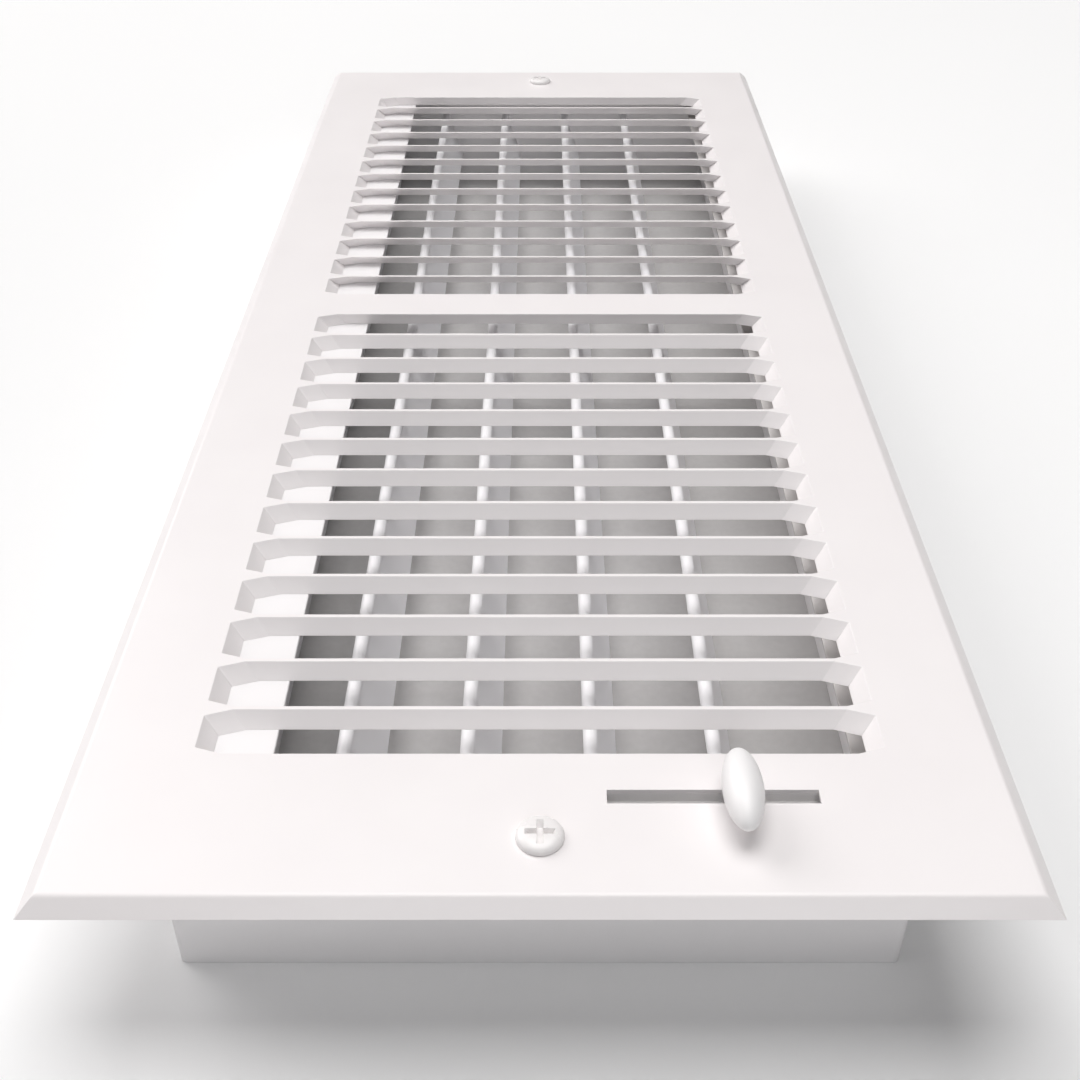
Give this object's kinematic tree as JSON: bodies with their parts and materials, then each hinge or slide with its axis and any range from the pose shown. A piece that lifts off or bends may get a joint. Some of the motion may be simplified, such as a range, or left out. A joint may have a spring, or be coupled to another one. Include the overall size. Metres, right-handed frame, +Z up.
{
  "type": "two-way floor register with damper",
  "caption": "Stamped steel two-way louvred register face on a sheet collar, with a linked multi-blade damper worked by a knob.",
  "frame": {"origin": "middle of the plane of the collar's lower edge, under the middle of the face", "axes": "+Z up out of the face, Y along the register with the knob at the minus Y end, X across it"},
  "size_m": [0.136, 0.3402, 0.0378],
  "materials": {
    "face_paint": "glossy white baked enamel",
    "collar_paint": "glossy white baked enamel, a little thinner than on the face",
    "blade_paint": "satin white enamel",
    "zinc_steel": "bright zinc plate",
    "knob_paint": "glossy white moulded plastic",
    "screw_paint": "glossy white painted screw head"
  },
  "bodies": {
    "casing": {"face_plate": "face_paint", "collar_left": "collar_paint", "collar_right": "collar_paint", "collar_front": "collar_paint", "collar_rear": "collar_paint", "side_shelf": "collar_paint", "blade_stop": "collar_paint", "bearing_plate": "collar_paint", "lever_stud": "zinc_steel", "screw_front": "screw_paint", "screw_rear": "screw_paint"},
    "damper_1": {"blade_1": "blade_paint", "crank_rod_1": "zinc_steel"},
    "damper_2": {"blade_2": "blade_paint", "crank_rod_2": "zinc_steel"},
    "damper_3": {"blade_3": "blade_paint", "crank_rod_3": "zinc_steel"},
    "damper_4": {"blade_4": "blade_paint", "crank_rod_4": "zinc_steel"},
    "damper_5": {"blade_5": "blade_paint", "crank_rod_5": "zinc_steel"},
    "link": {"link_bar": "zinc_steel", "drive_pin": "zinc_steel"},
    "handle": {"lever": "zinc_steel", "knob": "knob_paint"}
  },
  "joints": [
    {"name": "damper_1_turn", "type": "hinge", "parent": "casing", "child": "damper_1", "pos_m": [-0.0489, 0, 0.0221], "axis": [0, -1, 0], "range_deg": [-19, 71]},
    {"name": "damper_2_turn", "type": "hinge", "parent": "casing", "child": "damper_2", "pos_m": [-0.03, 0, 0.0221], "axis": [0, -1, 0], "range_deg": [-19, 71]},
    {"name": "damper_3_turn", "type": "hinge", "parent": "casing", "child": "damper_3", "pos_m": [-0.0111, 0, 0.0221], "axis": [0, -1, 0], "range_deg": [-19, 71]},
    {"name": "damper_4_turn", "type": "hinge", "parent": "casing", "child": "damper_4", "pos_m": [0.0078, 0, 0.0221], "axis": [0, -1, 0], "range_deg": [-19, 71]},
    {"name": "damper_5_turn", "type": "hinge", "parent": "casing", "child": "damper_5", "pos_m": [0.0267, 0, 0.0221], "axis": [0, -1, 0], "range_deg": [-19, 71]},
    {"name": "link_swing", "type": "hinge", "parent": "damper_3", "child": "link", "pos_m": [-0.01259, -0.1494, 0.01904], "axis": [0, -1, 0], "range_deg": [-71, 19]},
    {"name": "handle_turn", "type": "hinge", "parent": "casing", "child": "handle", "pos_m": [0.03052, -0.151, 0.005], "axis": [0, 1, 0], "range_deg": [-4.1, 15.3]}
  ],
  "couplings": [
    {"joint": "damper_1_turn", "follows": "damper_3_turn", "ratio": 1},
    {"joint": "damper_2_turn", "follows": "damper_3_turn", "ratio": 1},
    {"joint": "damper_4_turn", "follows": "damper_3_turn", "ratio": 1},
    {"joint": "damper_5_turn", "follows": "damper_3_turn", "ratio": 1},
    {"joint": "link_swing", "follows": "damper_3_turn", "ratio": -1},
    {"joint": "handle_turn", "follows": "damper_3_turn", "ratio": 0.215}
  ]
}
